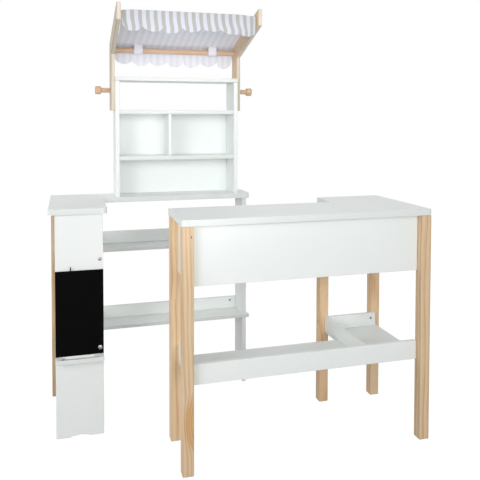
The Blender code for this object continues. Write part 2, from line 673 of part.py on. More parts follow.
def awning_cloth():
    """The striped cloth: a thin sheet over both dowels with a scalloped valance at each end."""
    left = HUTCH_LEFT + CLOTH_SIDE_CLEARANCE
    width = HUTCH_WIDTH - 2 * CLOTH_SIDE_CLEARANCE
    columns = SCALLOPS * SCALLOP_COLUMNS
    rows = len(canopy_path(0, 0)) - 1
    mesh = bpy.data.meshes.new("awning_cloth")
    shape = bmesh.new()
    bmesh.ops.create_grid(shape, x_segments=columns, y_segments=rows, size=0.5)
    for vertex in shape.verts:
        across = vertex.co.x + 0.5
        along = round((vertex.co.y + 0.5) * rows)
        phase = across * SCALLOPS % 1.0
        scallop = SCALLOP_DROP * sqrt(max(0.0, 1 - (2 * phase - 1) ** 2))
        path = canopy_path(FRONT_VALANCE + scallop, REAR_VALANCE + scallop)
        y, z = path[along]
        fold = FOLD_DEPTH * (1 - cos(2 * pi * across * SCALLOPS)) / 2
        if along < 2:
            y -= fold * (2 - along) / 2
        if along > rows - 2:
            y += fold * (along - rows + 2) / 2
        vertex.co = (left + width * across, y, z)
    shape.to_mesh(mesh)
    shape.free()
    mesh.shade_smooth()
    cloth = add_object("awning_cloth", mesh, COTTON, STAND_ORIGIN)
    thickness = cloth.modifiers.new("thickness", "SOLIDIFY")
    thickness.thickness = CLOTH
    thickness.offset = 1


def strap(name, x, y, z):
    """A cloth loop round a dowel."""
    mesh = bpy.data.meshes.new(name)
    shape = bmesh.new()
    radius = DOWEL / 2 + GAP
    bmesh.ops.create_cone(shape, cap_ends=False, segments=24, radius1=radius, radius2=radius,
                          depth=STRAP_WIDTH)
    shape.to_mesh(mesh)
    shape.free()
    mesh.shade_smooth()
    loop = add_object(name, mesh, WEBBING, STAND_ORIGIN + Vector((x, y, z)))
    loop.rotation_euler = (0, pi / 2, 0)
    thickness = loop.modifiers.new("thickness", "SOLIDIFY")
    thickness.thickness = STRAP
    thickness.offset = 1


def awning():
    at = STAND_ORIGIN
    for side, x in (("left", HUTCH_LEFT - GAP - ARM_BOARD / 2), ("right", HUTCH_RIGHT + GAP + ARM_BOARD / 2)):
        board(f"awning_arm_{side}", arm_outline(), ARM_BOARD, (x, 0, 0), UPRIGHT_SIDE, PINE, at)
    peg("peg_left", HUTCH_LEFT - 2 * GAP - ARM_BOARD, -1)
    peg("peg_right", HUTCH_RIGHT + 2 * GAP + ARM_BOARD, 1)
    middle = (HUTCH_LEFT + HUTCH_RIGHT) / 2
    for place, y, z in (("rear", REAR_DOWEL_Y, REAR_DOWEL_Z), ("front", FRONT_DOWEL_Y, FRONT_DOWEL_Z)):
        cylinder(f"awning_dowel_{place}", DOWEL, HUTCH_WIDTH, (middle, y, z), (1, 0, 0), BEECH, at)
        for side, x in (("left", HUTCH_LEFT + STRAP_FROM_SIDE), ("right", HUTCH_RIGHT - STRAP_FROM_SIDE)):
            strap(f"strap_{place}_{side}", x, y, z)
    awning_cloth()


counter()
stand()
hutch()
awning()
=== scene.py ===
"""Looks of the wooden play shop set: white boards, pine legs, beech rods and a striped awning."""

import json
from math import atan, cos, pi, radians, sin, sqrt, tan

import bmesh
import bpy
from mathutils import Matrix, Vector, noise


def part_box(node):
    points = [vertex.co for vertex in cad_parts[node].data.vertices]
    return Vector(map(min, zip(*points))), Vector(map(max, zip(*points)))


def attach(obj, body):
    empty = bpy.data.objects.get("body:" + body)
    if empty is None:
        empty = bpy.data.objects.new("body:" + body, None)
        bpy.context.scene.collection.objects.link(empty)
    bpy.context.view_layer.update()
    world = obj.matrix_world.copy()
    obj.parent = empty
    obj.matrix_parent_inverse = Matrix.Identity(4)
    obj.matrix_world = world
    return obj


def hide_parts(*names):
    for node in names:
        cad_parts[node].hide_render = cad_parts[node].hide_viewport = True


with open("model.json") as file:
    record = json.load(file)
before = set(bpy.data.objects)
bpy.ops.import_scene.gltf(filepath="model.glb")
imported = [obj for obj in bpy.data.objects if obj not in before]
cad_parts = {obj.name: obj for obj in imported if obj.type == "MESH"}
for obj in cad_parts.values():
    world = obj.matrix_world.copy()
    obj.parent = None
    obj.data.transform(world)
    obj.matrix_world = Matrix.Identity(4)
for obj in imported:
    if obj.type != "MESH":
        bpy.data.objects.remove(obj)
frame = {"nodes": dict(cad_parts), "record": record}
nodes = frame["nodes"]
slots = {part["node"]: part["material_slot"] for part in frame["record"]["subparts"]}
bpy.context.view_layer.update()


# Camera
# The photograph was taken from the front, left of the set's middle and as high as the hutch's
# shelves, with a normal lens. Its frame is the lower part of the lens's picture, which the camera's
# shift repeats.

FRAME_PIXELS = 480
SENSOR_MM = 36.0
FOCAL_PIXELS = 585.5436
CENTRE_PIXELS = (226.1577, 139.0165)
CAMERA_PLACE = (-0.4262, -1.5681, 0.8321)
CAMERA_HEADING = -0.2647
CAMERA_DOWNWARD = 0.0352
CAMERA_ROLL = 0.0012

camera = bpy.data.objects.new("camera", bpy.data.cameras.new("camera"))
camera.data.sensor_fit = "HORIZONTAL"
camera.data.sensor_width = SENSOR_MM
camera.data.lens = FOCAL_PIXELS / FRAME_PIXELS * SENSOR_MM
camera.data.shift_x = 0.5 - CENTRE_PIXELS[0] / FRAME_PIXELS
camera.data.shift_y = CENTRE_PIXELS[1] / FRAME_PIXELS - 0.5
camera.matrix_world = (Matrix.Translation(CAMERA_PLACE)
                       @ Matrix.Rotation(CAMERA_HEADING, 4, "Z")
                       @ Matrix.Rotation(pi / 2 - CAMERA_DOWNWARD, 4, "X")
                       @ Matrix.Rotation(CAMERA_ROLL, 4, "Z"))
bpy.context.scene.collection.objects.link(camera)
bpy.context.scene.camera = camera


# Boards
# Sawn and routed medium-density fibreboard with eased edges, sprayed with satin white lacquer.
# It levels out to a soft gloss with a faint orange peel. The upright faces of lying boards are
# painted a little greyer, as painted shade.

LACQUER = "#F7FBFA"
LACQUER_DULL = "#F3F7F5"
# Painted shade, multiplied into the upright faces of lying boards
PAINTED_EDGE_SHADE = "#F2F3F2"
# A board that is lower than this lies flat
LYING_BOARD = 0.03
CLOUD_MM = 120
ORANGE_PEEL_MM = 2.2
ORANGE_PEEL_DEPTH_MM = 0.02
SMOOTH_JOIN = 0.00002
# The sockets of a Mix node that blends two colours
SHARE, FIRST, SECOND, BLEND = 0, 6, 7, 2


def linear(hex_colour):
    """An sRGB hex colour as the linear colour and alpha that a socket takes."""
    channels = [int(hex_colour[at:at + 2], 16) / 255 for at in (1, 3, 5)]
    return (*(c / 12.92 if c <= 0.04045 else ((c + 0.055) / 1.055) ** 2.4 for c in channels), 1.0)


def add_node(tree, kind, settings):
    """Adds a node. A lower-case key is a property, and any other name or number is a socket."""
    node = tree.nodes.new(kind)
    sockets = {}
    for key, value in settings.items():
        if isinstance(key, str) and key.islower():
            setattr(node, key, value)
        else:
            sockets[key] = value
    for key, value in sockets.items():
        if isinstance(value, bpy.types.NodeSocket):
            tree.links.new(value, node.inputs[key])
        else:
            node.inputs[key].default_value = value
    return node


def start_material(name):
    """An empty material with its node tree."""
    material = bpy.data.materials.new(name)
    material.use_nodes = True
    material.node_tree.nodes.clear()
    return material, material.node_tree


def dress(node_name, material):
    """Gives a CAD node its material, and shades its rounded edges smoothly."""
    thing = nodes[node_name]
    thing.data.materials.clear()
    thing.data.materials.append(material)
    thing.data.shade_smooth()
    weld = thing.modifiers.new("joined_faces", "WELD")
    weld.merge_threshold = SMOOTH_JOIN
    normals = thing.modifiers.new("flat_faces", "WEIGHTED_NORMAL")
    normals.weight = 100
    normals.keep_sharp = True


def lacquer_material(name, paint_edge_shade):
    """Satin white lacquer. Upright faces can be painted greyer than lying ones, as painted shade.
    """
    material, tree = start_material(name)
    place = add_node(tree, "ShaderNodeTexCoord", {}).outputs["Object"]
    cloud = add_node(tree, "ShaderNodeTexNoise", {
        "Vector": place, "Scale": 1000 / CLOUD_MM, "Detail": 2.0})
    colour = add_node(tree, "ShaderNodeMix", {
        "data_type": "RGBA", SHARE: cloud.outputs["Fac"], FIRST: linear(LACQUER),
        SECOND: linear(LACQUER_DULL)}).outputs[BLEND]
    # Painted shade: upright faces are multiplied greyer than lying ones
    if paint_edge_shade:
        facing = add_node(tree, "ShaderNodeNewGeometry", {}).outputs["Normal"]
        upward = add_node(tree, "ShaderNodeSeparateXYZ", {"Vector": facing})
        lying = add_node(tree, "ShaderNodeMath", {"operation": "ABSOLUTE", 0: upward.outputs["Z"]})
        edge = add_node(tree, "ShaderNodeMapRange", {
            "Value": lying.outputs[0], "From Min": 0.9, "From Max": 0.4})
        colour = add_node(tree, "ShaderNodeMix", {
            "data_type": "RGBA", "blend_type": "MULTIPLY", SHARE: edge.outputs[0], FIRST: colour,
            SECOND: linear(PAINTED_EDGE_SHADE)}).outputs[BLEND]
    peel = add_node(tree, "ShaderNodeTexNoise", {
        "Vector": place, "Scale": 1000 / ORANGE_PEEL_MM, "Detail": 1.0})
    relief = add_node(tree, "ShaderNodeBump", {
        "Height": peel.outputs["Fac"], "Strength": 0.35, "Distance": ORANGE_PEEL_DEPTH_MM / 1000})
    gloss = add_node(tree, "ShaderNodeMapRange", {
        "Value": cloud.outputs["Fac"], "To Min": 0.46, "To Max": 0.54})
    surface = add_node(tree, "ShaderNodeBsdfPrincipled", {
        "Base Color": colour, "Roughness": gloss.outputs[0], "Specular IOR Level": 0.3,
        "Normal": relief.outputs[0]})
    add_node(tree, "ShaderNodeOutputMaterial", {"Surface": surface.outputs[0]})
    return material


white_lacquer = lacquer_material("satin_lacquered_fibreboard", False)
edge_shaded_lacquer = lacquer_material("satin_lacquered_fibreboard_with_painted_edge_shade", True)
for name, slot in slots.items():
    if slot == "lacquer":
        low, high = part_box(name)
        dress(name, edge_shaded_lacquer if high.z - low.z < LYING_BOARD else white_lacquer)


# Legs
# Planed and rounded pine battens under clear lacquer: pale wood with broad, soft bands of late
# wood, and paler or browner from leg to leg. One leg shows a pin knot near its top, and its grain
# swells near its foot.

RING_MM = 10.5
RING_WAVE_MM = 6.0
RING_WAVE_LENGTH_MM = 170
# Waves of the rings in a metre across the grain, and patches of fading across and along it
RING_WAVES = 30.0
FADED_PATCHES = (45, 45, 4.5)
FIBRE_MM = 1.1
FIBRE_LENGTH_MM = 60
FIBRE_DEPTH_MM = 0.06
PITH_HEIGHT = 0.3
TINT_SOFTNESS = 0.001
# Early wood, the start of the late wood, and its dark end
STRAW_PINE = ("#E6CBA9", "#DDBB93", "#CBA173")
WARM_PINE = ("#FADBB4", "#F0CA9F", "#D9A97A")
BROWN_PINE = ("#F5D2A8", "#E8BF91", "#D0A274")
# How far in and up the knot and the swelling of the front-left leg lie, and their half sizes
KNOT_IN = 0.0212
KNOT_UP = 0.560
KNOT_SIZE = (0.0014, 0.006, 0.0052)
KNOT_CORE = "#3A2010"
SWELL_UP = 0.125
SWELL_SIZE = (0.034, 0.03, 0.09)
SWELL_PULL_MM = 22.0
SWELL_TINT = "#F3E0C4"
# Pith line's place beside the leg, its lean, the log's taper and the wood's colours
LEGS = {
    "counter_leg_front_left": ((0.066, 0.016), (0.004, -0.030), 0.005, STRAW_PINE),
    "counter_leg_front_right": ((-0.030, 0.050), (0.006, 0.012), 0.010, STRAW_PINE),
    "counter_leg_back_left": ((0.052, 0.040), (0.006, -0.010), 0.010, WARM_PINE),
    "counter_leg_back_middle": ((0.025, 0.070), (0.012, 0.012), -0.030, BROWN_PINE),
    "counter_leg_back_right": ((0.020, 0.075), (-0.008, 0.012), 0.020, WARM_PINE),
    "stand_leg_left": ((0.030, 0.050), (0.010, -0.008), 0.020, STRAW_PINE),
}


def nearness(tree, place, centre, size, full_at):
    """A socket that rises from 0 on an ellipsoid's surface to 1 at this share of its radius."""
    local = add_node(tree, "ShaderNodeMapping", {
        "vector_type": "TEXTURE", "Vector": place, "Location": centre, "Scale": size})
    reach = add_node(tree, "ShaderNodeVectorMath", {"operation": "LENGTH", 0: local.outputs[0]})
    return add_node(tree, "ShaderNodeMapRange", {
        "interpolation_type": "SMOOTHSTEP", "Value": reach.outputs["Value"], "From Min": 1.0,
        "From Max": full_at}).outputs[0]


def pine_material(name, pith, lean, taper, colours, left_face_tint=None, knot=None, swell=None):
    """Pine with rings round a leaning pith line, wider to one end of the log. A face left of a
    place takes a tint, such as painted shade, a knot has a dark core, and the rings are drawn in
    round a swelling."""
    material, tree = start_material(name)
    place = add_node(tree, "ShaderNodeTexCoord", {}).outputs["Object"]
    log = add_node(tree, "ShaderNodeMapping", {
        "vector_type": "TEXTURE", "Vector": place, "Location": pith,
        "Rotation": (*lean, 0)}).outputs["Vector"]
    stretch = add_node(tree, "ShaderNodeVectorMath", {
        "operation": "MULTIPLY", 0: log, 1: (RING_WAVES, RING_WAVES, 1000 / RING_WAVE_LENGTH_MM)})
    wave = add_node(tree, "ShaderNodeTexNoise", {
        "Vector": stretch.outputs[0], "Scale": 1.0, "Detail": 1.5})
    flat = add_node(tree, "ShaderNodeVectorMath", {"operation": "MULTIPLY", 0: log, 1: (1, 1, 0)})
    radius = add_node(tree, "ShaderNodeVectorMath", {"operation": "LENGTH", 0: flat.outputs[0]})
    height = add_node(tree, "ShaderNodeSeparateXYZ", {"Vector": log})
    cone = add_node(tree, "ShaderNodeMath", {
        "operation": "MULTIPLY_ADD", 0: height.outputs["Z"], 1: taper, 2: radius.outputs["Value"]})
    bent = add_node(tree, "ShaderNodeMath", {
        "operation": "MULTIPLY_ADD", 0: wave.outputs["Fac"], 1: 2 * RING_WAVE_MM / 1000,
        2: cone.outputs[0]})
    if swell:
        pull = nearness(tree, place, *swell, full_at=0.0)
        bent = add_node(tree, "ShaderNodeMath", {
            "operation": "MULTIPLY_ADD", 0: pull, 1: -SWELL_PULL_MM / 1000, 2: bent.outputs[0]})
    rings = add_node(tree, "ShaderNodeMath", {
        "operation": "DIVIDE", 0: bent.outputs[0], 1: RING_MM / 1000})
    part = add_node(tree, "ShaderNodeMath", {"operation": "FRACT", 0: rings.outputs[0]})
    profile = add_node(tree, "ShaderNodeValToRGB", {"Fac": part.outputs[0]})
    profile.color_ramp.interpolation = "B_SPLINE"
    pale, dark, late = colours
    stops = profile.color_ramp.elements
    stops[0].position, stops[0].color = 0.0, linear(pale)
    stops[1].position, stops[1].color = 1.0, linear(pale)
    for at, colour in ((0.3, pale), (0.58, dark), (0.78, late), (0.9, dark)):
        stops.new(at).color = linear(colour)
    slow = add_node(tree, "ShaderNodeVectorMath", {
        "operation": "MULTIPLY", 0: log, 1: FADED_PATCHES})
    patch = add_node(tree, "ShaderNodeTexNoise", {
        "Vector": slow.outputs[0], "Scale": 1.0, "Detail": 2.0})
    fading = add_node(tree, "ShaderNodeMapRange", {
        "Value": patch.outputs["Fac"], "From Min": 0.4, "From Max": 0.7, "To Min": 0.0,
        "To Max": 0.6})
    soft = add_node(tree, "ShaderNodeMix", {
        "data_type": "RGBA", SHARE: fading.outputs[0], FIRST: profile.outputs["Color"],
        SECOND: linear(pale)})
    fine = add_node(tree, "ShaderNodeVectorMath", {
        "operation": "MULTIPLY", 0: log,
        1: (1000 / FIBRE_MM, 1000 / FIBRE_MM, 1000 / FIBRE_LENGTH_MM)})
    fibre = add_node(tree, "ShaderNodeTexNoise", {
        "Vector": fine.outputs[0], "Scale": 1.0, "Detail": 3.0})
    streak = add_node(tree, "ShaderNodeMapRange", {
        "Value": fibre.outputs["Fac"], "To Min": 0.9, "To Max": 1.08})
    colour = add_node(tree, "ShaderNodeVectorMath", {
        "operation": "SCALE", 0: soft.outputs[BLEND], "Scale": streak.outputs[0]}).outputs[0]
    if swell:
        dense = add_node(tree, "ShaderNodeMapRange", {
            "interpolation_type": "SMOOTHSTEP", "Value": pull, "From Min": 0.0, "From Max": 0.5})
        colour = add_node(tree, "ShaderNodeMix", {
            "data_type": "RGBA", "blend_type": "MULTIPLY", SHARE: dense.outputs[0], FIRST: colour,
            SECOND: linear(SWELL_TINT)}).outputs[BLEND]
    # A tint on the face left of a place: painted shade on the left arm, a browner tone on the right
    # arm
    if left_face_tint:
        tint_edge, tint_colour = left_face_tint
        sideways = add_node(tree, "ShaderNodeSeparateXYZ", {"Vector": place})
        inside = add_node(tree, "ShaderNodeMapRange", {
            "interpolation_type": "SMOOTHSTEP", "Value": sideways.outputs["X"],
            "From Min": tint_edge + TINT_SOFTNESS, "From Max": tint_edge - TINT_SOFTNESS})
        colour = add_node(tree, "ShaderNodeMix", {
            "data_type": "RGBA", "blend_type": "MULTIPLY", SHARE: inside.outputs[0],
            FIRST: colour, SECOND: linear(tint_colour)}).outputs[BLEND]
    if knot:
        core = nearness(tree, place, *knot, full_at=0.3)
        colour = add_node(tree, "ShaderNodeMix", {
            "data_type": "RGBA", SHARE: core, FIRST: colour,
            SECOND: linear(KNOT_CORE)}).outputs[BLEND]
    relief = add_node(tree, "ShaderNodeBump", {
        "Height": fibre.outputs["Fac"], "Strength": 0.3, "Distance": FIBRE_DEPTH_MM / 1000})
    gloss = add_node(tree, "ShaderNodeMapRange", {
        "Value": part.outputs[0], "To Min": 0.55, "To Max": 0.46})
    surface = add_node(tree, "ShaderNodeBsdfPrincipled", {
        "Base Color": colour, "Roughness": gloss.outputs[0], "Specular IOR Level": 0.35,
        "Normal": relief.outputs[0]})
    add_node(tree, "ShaderNodeOutputMaterial", {"Surface": surface.outputs[0]})
    return material


for name, (pith, lean, taper, colours) in LEGS.items():
    low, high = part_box(name)
    marks = {}
    if name == "counter_leg_front_left":
        marks = {"knot": ((low.x + KNOT_IN, low.y, KNOT_UP), KNOT_SIZE),
                 "swell": ((high.x, low.y, SWELL_UP), SWELL_SIZE)}
    start = (low.x + pith[0], low.y + pith[1], PITH_HEIGHT)
    dress(name, pine_material("lacquered_pine_" + name, start, lean, taper, colours, **marks))


# Awning arms
# Two cranked arms cut from planed pine board and screwed to the outside of the hutch, paler and
# greyer than the legs. The outer face of the left one is painted darker and greyer, as painted
# shade, and the inner face of the right one is painted browner.

ARM_PINE = ("#E6DDD0", "#DCD0BD", "#CAB9A1")
# Painted shade on the left arm's outer face, darker and greyer
PAINTED_SHADE_GREY = "#E2DCD6"
# A browner tone on the right arm's inner face
BROWNER_TINT = "#FAE8D8"
TINTED_FACE_DEPTH = 0.0025
ARM_PITH_HEIGHT = 1.0
ARM_LEAN = (0.02, 0.03)
ARM_TAPER = 0.02
# Pith line's place beside the arm, and the tint of its left face
ARMS = {
    "awning_arm_left": ((0.060, 0.050), PAINTED_SHADE_GREY),
    "awning_arm_right": ((-0.050, 0.060), BROWNER_TINT),
}
for name, (pith, left_face) in ARMS.items():
    low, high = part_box(name)
    start = (low.x + pith[0], high.y + pith[1], ARM_PITH_HEIGHT)
    dress(name, pine_material("lacquered_pine_" + name, start, ARM_LEAN, ARM_TAPER, ARM_PINE,
                              left_face_tint=(low.x + TINTED_FACE_DEPTH, left_face)))


# Rods and pegs
# Two beech dowels lie between the arms and carry the awning. A turned beech coat peg stands on the
# outside of each arm. Beech is pinkish tan with short dark flecks.

BEECH_PALE = "#DFC3A8"
BEECH_DARK = "#D0AC8A"
FLECK_MM = 0.5
FLECK_LENGTH_MM = 4.0
FLECK_DEPTH_MM = 0.05
# The slow bands are as many times as wide and long as a fleck
BAND_TO_FLECK = 14


def beech_material(name, grain_axis):
    """Beech whose short flecks lie along one axis."""
    material, tree = start_material(name)
    place = add_node(tree, "ShaderNodeTexCoord", {}).outputs["Object"]
    across, along = 1000 / FLECK_MM, 1000 / FLECK_LENGTH_MM
    scale = [along if axis == grain_axis else across for axis in "XYZ"]
    wide = [value / BAND_TO_FLECK for value in scale]
    fine = add_node(tree, "ShaderNodeVectorMath", {"operation": "MULTIPLY", 0: place, 1: scale})
    fleck = add_node(tree, "ShaderNodeTexNoise", {
        "Vector": fine.outputs[0], "Scale": 1.0, "Detail": 2.0})
    slow = add_node(tree, "ShaderNodeVectorMath", {"operation": "MULTIPLY", 0: place, 1: wide})
    band = add_node(tree, "ShaderNodeTexNoise", {
        "Vector": slow.outputs[0], "Scale": 1.0, "Detail": 1.0})
    share = add_node(tree, "ShaderNodeMath", {
        "operation": "MULTIPLY_ADD", 0: fleck.outputs["Fac"], 1: 0.45, 2: -0.2})
    total = add_node(tree, "ShaderNodeMath", {
        "operation": "ADD", 0: share.outputs[0], 1: band.outputs["Fac"]})
    tint = add_node(tree, "ShaderNodeMix", {
        "data_type": "RGBA", SHARE: total.outputs[0], FIRST: linear(BEECH_PALE),
        SECOND: linear(BEECH_DARK)})
    relief = add_node(tree, "ShaderNodeBump", {
        "Height": fleck.outputs["Fac"], "Strength": 0.25, "Distance": FLECK_DEPTH_MM / 1000})
    surface = add_node(tree, "ShaderNodeBsdfPrincipled", {
        "Base Color": tint.outputs[BLEND], "Roughness": 0.5, "Specular IOR Level": 0.4,
        "Normal": relief.outputs[0]})
    add_node(tree, "ShaderNodeOutputMaterial", {"Surface": surface.outputs[0]})
    return material


lacquered_beech = beech_material("lacquered_beech", "X")
for name, slot in slots.items():
    if slot == "beech":
        dress(name, lacquered_beech)


# Chalkboard
# A thin fibreboard panel with matt black chalkboard paint, fixed to the stand's front panel.
# The paint is slightly rough and barely shines.

BOARD_BLACK = "#070606"
BOARD_WORN = "#0B0A0A"
WEAR_PATCH_MM = 60
GRIT_MM = 0.8
GRIT_DEPTH_MM = 0.05
chalk_paint, tree = start_material("matt_chalkboard_paint")
place = add_node(tree, "ShaderNodeTexCoord", {}).outputs["Object"]
worn = add_node(tree, "ShaderNodeTexNoise", {
    "Vector": place, "Scale": 1000 / WEAR_PATCH_MM, "Detail": 4.0})
tint = add_node(tree, "ShaderNodeMix", {
    "data_type": "RGBA", SHARE: worn.outputs["Fac"], FIRST: linear(BOARD_BLACK),
    SECOND: linear(BOARD_WORN)})
grit = add_node(tree, "ShaderNodeTexNoise", {
    "Vector": place, "Scale": 1000 / GRIT_MM, "Detail": 2.0})
relief = add_node(tree, "ShaderNodeBump", {
    "Height": grit.outputs["Fac"], "Strength": 0.4, "Distance": GRIT_DEPTH_MM / 1000})
surface = add_node(tree, "ShaderNodeBsdfPrincipled", {
    "Base Color": tint.outputs[BLEND], "Roughness": 0.85, "Specular IOR Level": 0.05,
    "Normal": relief.outputs[0]})
add_node(tree, "ShaderNodeOutputMaterial", {"Surface": surface.outputs[0]})
dress("stand_chalkboard", chalk_paint)


# Screws
# Cross-headed steel screws: flat heads sunk in the legs, rails and hutch, a domed head on the panel
# and a wide one on the chalkboard. Bright zinc plating. The sunk heads are painted dark, as painted
# shade of their recesses.

# Thickness, rise and the recess's width, reach and depth as shares of the head's radius
SUNK_HEAD = {"Thickness": 0.7, "Rise": 0.0, "Recess Width": 0.34, "Recess Reach": 0.62,
             "Recess Depth": 0.42}
DOMED_HEAD = {"Thickness": 0.17, "Rise": 0.28, "Recess Width": 0.22, "Recess Reach": 0.46,
              "Recess Depth": 0.32}
HEAD_SIDES = 32
HEAD_RINGS = 6
RECESS_TURN = radians(20)
SHARP_EDGE = radians(35)
SCUFF_MM = 1.5


def steel_material(name, colour, smooth, rough):
    """Plated steel with small changes of gloss."""
    material, tree = start_material(name)
    place = add_node(tree, "ShaderNodeTexCoord", {}).outputs["Object"]
    scuffs = add_node(tree, "ShaderNodeTexNoise", {
        "Vector": place, "Scale": 1000 / SCUFF_MM, "Detail": 2.0})
    gloss = add_node(tree, "ShaderNodeMapRange", {
        "Value": scuffs.outputs["Fac"], "To Min": smooth, "To Max": rough})
    surface = add_node(tree, "ShaderNodeBsdfPrincipled", {
        "Base Color": linear(colour), "Metallic": 1.0, "Roughness": gloss.outputs[0]})
    add_node(tree, "ShaderNodeOutputMaterial", {"Surface": surface.outputs[0]})
    return material


def new_tree(name, sizes):
    """A geometry tree with a mesh, named sizes and a material as its inputs."""
    tree = bpy.data.node_groups.new(name, "GeometryNodeTree")
    tree.interface.new_socket("Geometry", in_out="INPUT", socket_type="NodeSocketGeometry")
    for size in sizes:
        tree.interface.new_socket(size, in_out="INPUT", socket_type="NodeSocketFloat")
    tree.interface.new_socket("Material", in_out="INPUT", socket_type="NodeSocketMaterial")
    tree.interface.new_socket("Geometry", in_out="OUTPUT", socket_type="NodeSocketGeometry")
    return tree, add_node(tree, "NodeGroupInput", {}).outputs


def grow(tree, name, guide, sizes, material):
    """Runs a tree on a guide mesh, and keeps the result as a plain mesh object."""
    maker = bpy.data.objects.new(name + "_guide", guide)
    bpy.context.scene.collection.objects.link(maker)
    run = maker.modifiers.new("grow", "NODES")
    run.node_group = tree
    for item in tree.interface.items_tree:
        if item.in_out == "INPUT" and item.name != "Geometry":
            run[item.identifier] = material if item.name == "Material" else sizes[item.name]
    grown = maker.evaluated_get(bpy.context.evaluated_depsgraph_get())
    mesh = bpy.data.meshes.new_from_object(grown)
    mesh.name = name
    bpy.data.objects.remove(maker)
    piece = bpy.data.objects.new(name, mesh)
    bpy.context.scene.collection.objects.link(piece)
    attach(piece, "root")
    return piece


screw_tree, given = new_tree("screw_heads", SUNK_HEAD)
disc = add_node(screw_tree, "GeometryNodeMeshCylinder", {
    "fill_type": "TRIANGLE_FAN", "Vertices": HEAD_SIDES, "Side Segments": 1,
    "Fill Segments": HEAD_RINGS, "Radius": 1.0, "Depth": given["Thickness"]})
spot = add_node(screw_tree, "GeometryNodeInputPosition", {})
axes = add_node(screw_tree, "ShaderNodeSeparateXYZ", {"Vector": spot.outputs[0]})
flat = add_node(screw_tree, "ShaderNodeVectorMath", {
    "operation": "MULTIPLY", 0: spot.outputs[0], 1: (1, 1, 0)})
square = add_node(screw_tree, "ShaderNodeVectorMath", {
    "operation": "DOT_PRODUCT", 0: flat.outputs[0], 1: flat.outputs[0]})
left_over = add_node(screw_tree, "ShaderNodeMath", {
    "operation": "SUBTRACT", 0: 1.0, 1: square.outputs["Value"]})
left_over = add_node(screw_tree, "ShaderNodeMath", {
    "operation": "MAXIMUM", 0: left_over.outputs[0], 1: 0.0})
dome = add_node(screw_tree, "ShaderNodeMath", {
    "operation": "MULTIPLY", 0: left_over.outputs[0], 1: given["Rise"]})
lift = add_node(screw_tree, "ShaderNodeCombineXYZ", {"Z": dome.outputs[0]})
upper = add_node(screw_tree, "ShaderNodeMath", {
    "operation": "GREATER_THAN", 0: axes.outputs["Z"], 1: 0.0})
raised = add_node(screw_tree, "GeometryNodeSetPosition", {
    "Geometry": disc.outputs["Mesh"], "Selection": upper.outputs[0], "Offset": lift.outputs[0]})
crown = add_node(screw_tree, "ShaderNodeMath", {
    "operation": "MULTIPLY_ADD", 0: given["Thickness"], 1: 0.5, 2: given["Rise"]})
long_way = add_node(screw_tree, "ShaderNodeMath", {
    "operation": "MULTIPLY", 0: given["Recess Reach"], 1: 2.0})
deep = add_node(screw_tree, "ShaderNodeMath", {
    "operation": "MULTIPLY", 0: given["Recess Depth"], 1: 2.0})
slot_size = add_node(screw_tree, "ShaderNodeCombineXYZ", {
    "X": long_way.outputs[0], "Y": given["Recess Width"], "Z": deep.outputs[0]})
slot_cut = add_node(screw_tree, "GeometryNodeMeshCube", {"Size": slot_size.outputs[0]})
cut_place = add_node(screw_tree, "ShaderNodeCombineXYZ", {"Z": crown.outputs[0]})
first_cut, second_cut = [add_node(screw_tree, "GeometryNodeTransform", {
    "Geometry": slot_cut.outputs["Mesh"], "Translation": cut_place.outputs[0],
    "Rotation": (0, 0, turn)}) for turn in (RECESS_TURN, RECESS_TURN + pi / 2)]
crossed = add_node(screw_tree, "GeometryNodeMeshBoolean", {
    "operation": "DIFFERENCE", "solver": "EXACT", "Mesh 1": raised.outputs["Geometry"],
    "Mesh 2": first_cut.outputs[0]})
screw_tree.links.new(second_cut.outputs[0], crossed.inputs["Mesh 2"])
half_down = add_node(screw_tree, "ShaderNodeMath", {
    "operation": "MULTIPLY", 0: given["Thickness"], 1: -0.5})
down = add_node(screw_tree, "ShaderNodeCombineXYZ", {"Z": half_down.outputs[0]})
lowered = add_node(screw_tree, "GeometryNodeTransform", {
    "Geometry": crossed.outputs["Mesh"], "Translation": down.outputs[0]})
facing = add_node(screw_tree, "GeometryNodeInputNamedAttribute", {
    "data_type": "FLOAT_VECTOR", "Name": "facing"})
size = add_node(screw_tree, "GeometryNodeInputNamedAttribute", {
    "data_type": "FLOAT", "Name": "head_radius"})
turned_out = add_node(screw_tree, "FunctionNodeAlignRotationToVector", {
    "axis": "Z", "Vector": facing.outputs["Attribute"]})
copies = add_node(screw_tree, "GeometryNodeInstanceOnPoints", {
    "Points": given["Geometry"], "Instance": lowered.outputs[0],
    "Rotation": turned_out.outputs[0], "Scale": size.outputs["Attribute"]})
real = add_node(screw_tree, "GeometryNodeRealizeInstances", {
    "Geometry": copies.outputs["Instances"]})
coated = add_node(screw_tree, "GeometryNodeSetMaterial", {
    "Geometry": real.outputs[0], "Material": given["Material"]})
add_node(screw_tree, "NodeGroupOutput", {"Geometry": coated.outputs[0]})

# These look towards the front, from boards that lie across. The rest look to the left.
LOOKS_FORWARD = ("screw_panel", "screw_chalkboard", "screw_rail_back", "screw_rail_rear")
bright_zinc = steel_material("bright_zinc_plating", "#96999B", 0.2, 0.34)
